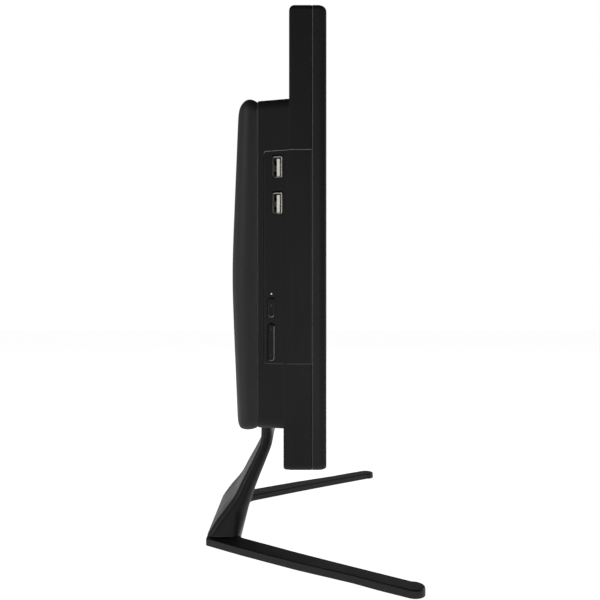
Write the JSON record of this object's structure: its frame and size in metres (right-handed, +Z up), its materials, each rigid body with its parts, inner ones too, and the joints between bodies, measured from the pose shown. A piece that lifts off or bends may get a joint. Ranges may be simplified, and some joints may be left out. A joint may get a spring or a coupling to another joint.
{
  "type": "all in one pc",
  "caption": "Desktop computer built into the back of a flat screen, on a slanted arm and a splayed two-legged stand, with a tilt hinge, side sockets, a power button and a rocker.",
  "frame": {"origin": "on the table, under the centre of the bounding box", "axes": "+Z up, the screen faces -Y, +X to the right of a viewer who faces the screen"},
  "size_m": [0.472, 0.1678, 0.3814],
  "materials": {
    "black_plastic": "matt, fine grain",
    "cover_plastic": "matt, fine grain",
    "stand_paint": "satin black",
    "rubber": "matt",
    "screen_glass": "low-gloss",
    "backlight": "plain",
    "steel": "plain",
    "nickel": "bright",
    "white_plastic": "plain",
    "pcb": "solder mask",
    "copper": "plain",
    "aluminium": "plain",
    "chip": "moulded",
    "led": "clear lens"
  },
  "bodies": {
    "stand": {"stand_arm": "stand_paint", "stand_base": "stand_paint", "foot_front_left": "rubber", "foot_front_right": "rubber", "foot_rear_left": "rubber", "foot_rear_right": "rubber", "arm_screw_1": "steel", "arm_screw_2": "steel", "arm_screw_3": "steel"},
    "head": {"front_bezel": "black_plastic", "lcd_glass": "screen_glass", "backlight_unit": "backlight", "webcam_board": "pcb", "webcam_lens": "screen_glass", "chassis_plate": "steel", "rear_housing": "black_plastic", "rear_cover": "cover_plastic", "cover_screw_1": "steel", "cover_screw_2": "steel", "cover_screw_3": "steel", "cover_screw_4": "steel", "stand_bay": "black_plastic", "side_panel": "black_plastic", "usb_shell_upper": "nickel", "usb_tongue_upper": "white_plastic", "usb_shell_lower": "nickel", "usb_tongue_lower": "white_plastic", "io_board": "pcb", "power_switch": "chip", "rocker_switch": "chip", "status_led": "led", "motherboard": "pcb", "cpu": "chip", "heatsink_plate": "copper", "heat_pipe": "copper", "heatsink_fins": "aluminium", "fan_housing": "black_plastic", "memory_module_1": "pcb", "memory_module_2": "pcb", "wifi_card": "pcb", "cmos_battery": "steel", "storage_drive": "aluminium", "drive_tray": "steel", "speaker_left": "chip", "speaker_right": "chip", "hdmi_port": "nickel", "lan_port": "nickel", "rear_usb_port_1": "nickel", "rear_usb_port_2": "nickel", "dc_jack": "chip", "audio_jack": "chip", "hinge_bracket": "steel", "hinge_pin": "steel", "friction_washer_left": "steel", "friction_washer_right": "steel"},
    "fan": {"fan_rotor": "chip"},
    "power_key": {"power_button": "black_plastic"},
    "rocker_key": {"volume_rocker": "black_plastic"}
  },
  "joints": [
    {"name": "tilt", "type": "hinge", "parent": "stand", "child": "head", "pos_m": [0, 0.0366, 0.143], "axis": [-1, 0, 0], "range_deg": [-5, 20]},
    {"name": "fan_spin", "type": "hinge", "parent": "head", "child": "fan", "pos_m": [0.095, 0.0226, 0.24], "axis": [0, 1, 0], "continuous": true},
    {"name": "power_press", "type": "slide", "parent": "head", "child": "power_key", "axis": [0.9677, -0.252, 0], "range_m": [0, 0.0009], "stiffness_N_per_m": 900, "springref_m": -0.0006},
    {"name": "volume_rock", "type": "hinge", "parent": "head", "child": "rocker_key", "pos_m": [-0.22903, 0.02071, 0.1807], "axis": [0.252, 0.9677, 0], "range_deg": [-3, 3], "stiffness_Nm_per_rad": 0.1}
  ]
}
